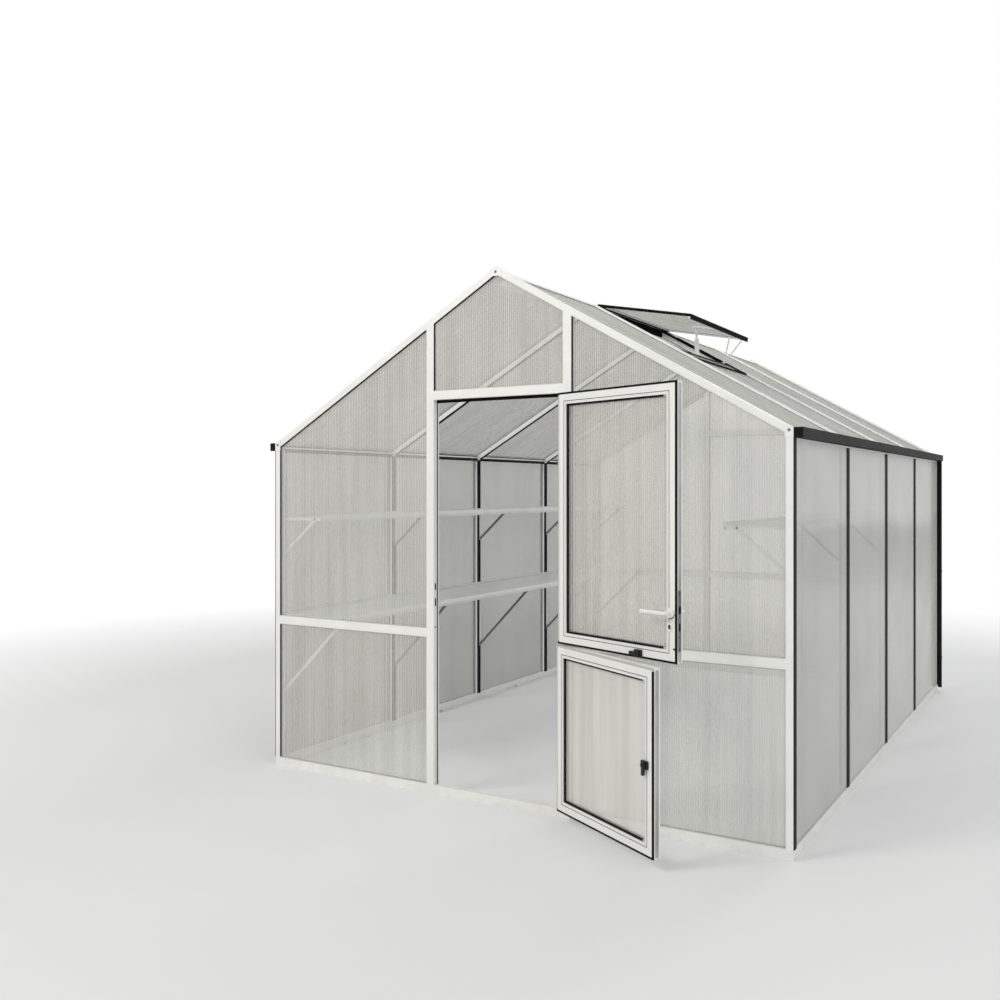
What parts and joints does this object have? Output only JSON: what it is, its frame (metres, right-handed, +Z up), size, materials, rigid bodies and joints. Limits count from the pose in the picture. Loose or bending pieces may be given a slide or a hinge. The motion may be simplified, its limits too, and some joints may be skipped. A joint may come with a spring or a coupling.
{
  "type": "greenhouse",
  "caption": "Walk-in greenhouse: aluminium frame with twin-wall sheets, steep gable roof, open stable door, propped roof vent, dark gutters and inner shelves.",
  "frame": {"origin": "middle of the front sill's underside, on the ground", "axes": "+X to the right across the gable as seen from the front, +Y from the door towards the back, +Z up"},
  "size_m": [2.87, 4.445, 2.55],
  "materials": {
    "aluminium_frame": "satin",
    "twin_wall_sheet": "glossy",
    "dark_rainware": "satin",
    "black_seal": "matte",
    "black_plastic": "matte",
    "shelf_metal": "satin"
  },
  "bodies": {
    "greenhouse": {"front_sill": "aluminium_frame", "back_sill": "aluminium_frame", "side_sills": "aluminium_frame", "corner_posts": "aluminium_frame", "door_posts": "aluminium_frame", "back_posts": "aluminium_frame", "door_lintel": "aluminium_frame", "front_rails": "aluminium_frame", "back_rails": "aluminium_frame", "front_rakes": "aluminium_frame", "back_rakes": "aluminium_frame", "gable_plates": "aluminium_frame", "ridge_beam": "aluminium_frame", "eave_beams": "aluminium_frame", "wall_posts": "aluminium_frame", "roof_bars": "aluminium_frame", "cover_strips": "dark_rainware", "gutters": "dark_rainware", "downpipes": "dark_rainware", "front_panes": "twin_wall_sheet", "back_panes": "twin_wall_sheet", "left_wall_panes": "twin_wall_sheet", "right_wall_panes": "twin_wall_sheet", "left_roof_panes": "twin_wall_sheet", "right_roof_panes": "twin_wall_sheet", "vent_curb": "aluminium_frame", "vent_seal": "black_seal", "vent_frame": "aluminium_frame", "vent_pane": "twin_wall_sheet", "vent_opener": "aluminium_frame", "vent_stays": "aluminium_frame", "left_shelf": "shelf_metal", "right_shelf": "shelf_metal", "left_bench": "shelf_metal", "shelf_brackets": "shelf_metal", "bench_brackets": "shelf_metal", "hinge_brackets": "aluminium_frame"},
    "upper_leaf": {"upper_leaf_frame": "aluminium_frame", "upper_leaf_pane": "twin_wall_sheet", "upper_leaf_seals": "black_seal", "upper_leaf_hinges": "aluminium_frame", "handle_roses": "aluminium_frame", "upper_latch_base": "black_plastic"},
    "lower_leaf": {"lower_leaf_frame": "aluminium_frame", "lower_leaf_pane": "twin_wall_sheet", "lower_leaf_seals": "black_seal", "lower_leaf_hinges": "aluminium_frame", "lower_latch_base": "black_plastic"},
    "lever": {"lever_handle": "aluminium_frame"},
    "upper_turn_latch": {"upper_latch": "black_plastic"},
    "lower_turn_latch": {"lower_latch": "black_plastic"}
  },
  "joints": [
    {"name": "upper_leaf_swing", "type": "hinge", "parent": "greenhouse", "child": "upper_leaf", "pos_m": [0.363, -0.032, 1.365], "axis": [0, 0, 1], "range_deg": [-159.5, 5.5]},
    {"name": "lower_leaf_swing", "type": "hinge", "parent": "greenhouse", "child": "lower_leaf", "pos_m": [0.363, -0.032, 0.424], "axis": [0, 0, 1], "range_deg": [-150, 15]},
    {"name": "lever_turn", "type": "hinge", "parent": "upper_leaf", "child": "lever", "pos_m": [0.99247, -0.29297, 1.004], "axis": [-0.3502, -0.9367, 0], "range_deg": [0, 45], "stiffness_Nm_per_rad": 0.5, "springref_deg": -28.65},
    {"name": "upper_latch_turn", "type": "hinge", "parent": "upper_leaf", "child": "upper_turn_latch", "pos_m": [0.82226, -0.25709, 0.822], "axis": [-0.3502, -0.9367, 0], "range_deg": [0, 90]},
    {"name": "lower_latch_turn", "type": "hinge", "parent": "lower_leaf", "child": "lower_turn_latch", "pos_m": [0.91391, -0.4078, 0.413], "axis": [0.5, 0.866, 0], "range_deg": [0, 90]}
  ]
}
